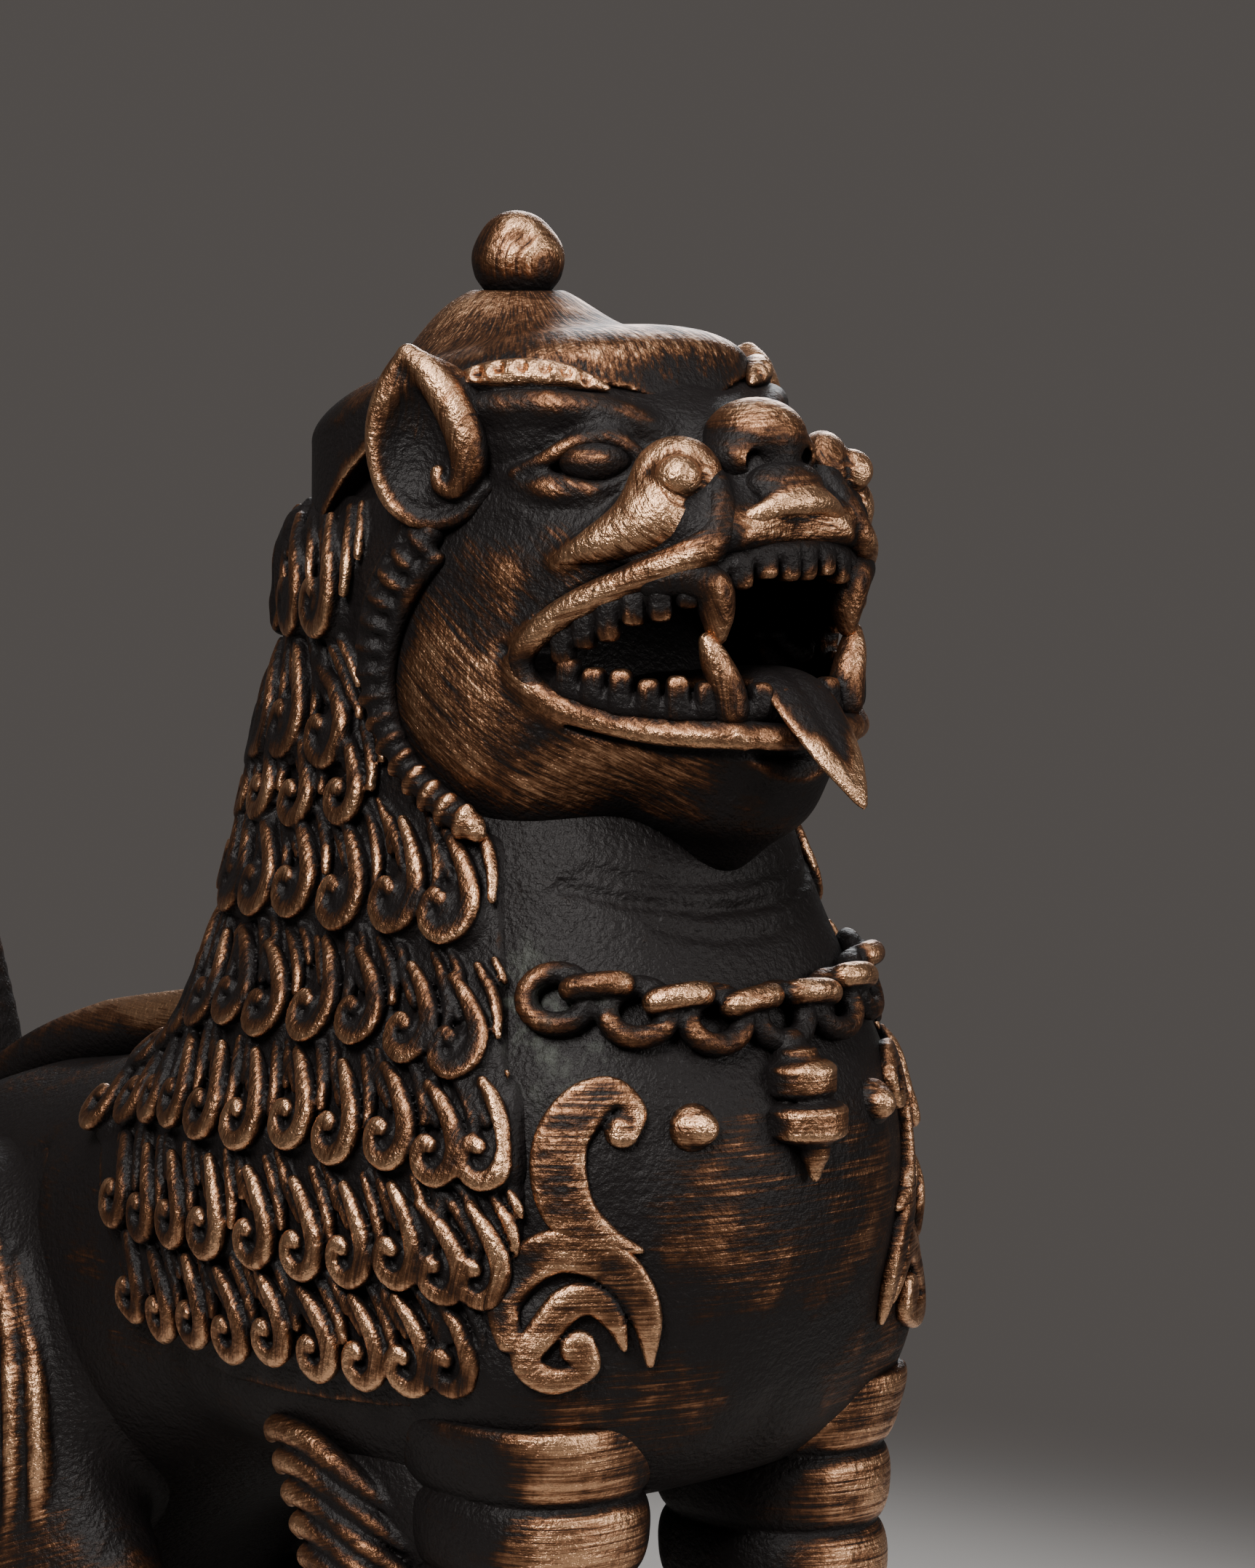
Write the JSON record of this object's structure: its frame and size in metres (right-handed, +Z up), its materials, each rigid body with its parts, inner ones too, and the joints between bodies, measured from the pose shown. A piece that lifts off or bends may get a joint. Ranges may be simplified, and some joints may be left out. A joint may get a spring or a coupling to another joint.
{
  "type": "foo dog statue",
  "caption": "Seated guardian lion figurine with open mouth, hanging tongue, curled mane in tiers, peaked cap, neck chain with bell, and banded forelegs.",
  "frame": {"origin": "on the ground, under the middle of the lion's length and width", "axes": "+Z up to the cap's finial; the lion faces -Y; its right side is -X"},
  "size_m": [0.0896, 0.1932, 0.2],
  "materials": {
    "dark_patina": "oiled black-brown patina over copper, with rubbed high spots",
    "brushed_copper": "patina brushed back to red-brown copper, fine scratches",
    "polished_copper": "raised copper rubbed bright, dark patina left in the recesses"
  },
  "bodies": {
    "root": {"head_casting": "brushed_copper", "upper_teeth": "dark_patina", "lower_teeth": "dark_patina", "upper_fang_right": "polished_copper", "upper_fang_left": "polished_copper", "lower_fang_right": "polished_copper", "lower_fang_left": "polished_copper", "tongue": "polished_copper", "lip_right": "brushed_copper", "lip_left": "brushed_copper", "front_lip": "brushed_copper", "nose": "polished_copper", "whisker_curl_right": "polished_copper", "whisker_curl_left": "polished_copper", "eye_right": "dark_patina", "eye_left": "dark_patina", "brow_right": "brushed_copper", "brow_left": "brushed_copper", "ear_right": "polished_copper", "ear_left": "polished_copper", "skull_cap": "dark_patina", "cap_finial": "polished_copper", "mane_collar_right": "dark_patina", "mane_collar_left": "dark_patina", "base_plate": "brushed_copper", "torso_casting": "dark_patina", "foreleg_right": "brushed_copper", "foreleg_left": "brushed_copper", "elbow_tuft_right": "polished_copper", "elbow_tuft_left": "polished_copper", "hind_leg_right": "brushed_copper", "hind_leg_left": "brushed_copper", "spine_ridge": "brushed_copper", "tail": "brushed_copper", "shoulder_swirl_right": "polished_copper", "shoulder_swirl_left": "polished_copper", "chest_scroll_right": "polished_copper", "chest_scroll_left": "polished_copper", "chest_stud_right": "polished_copper", "chest_stud_left": "polished_copper", "bell_pendant": "polished_copper", "neck_chain": "dark_patina", "mane_right": "dark_patina", "mane_left": "dark_patina"}
  },
  "joints": []
}
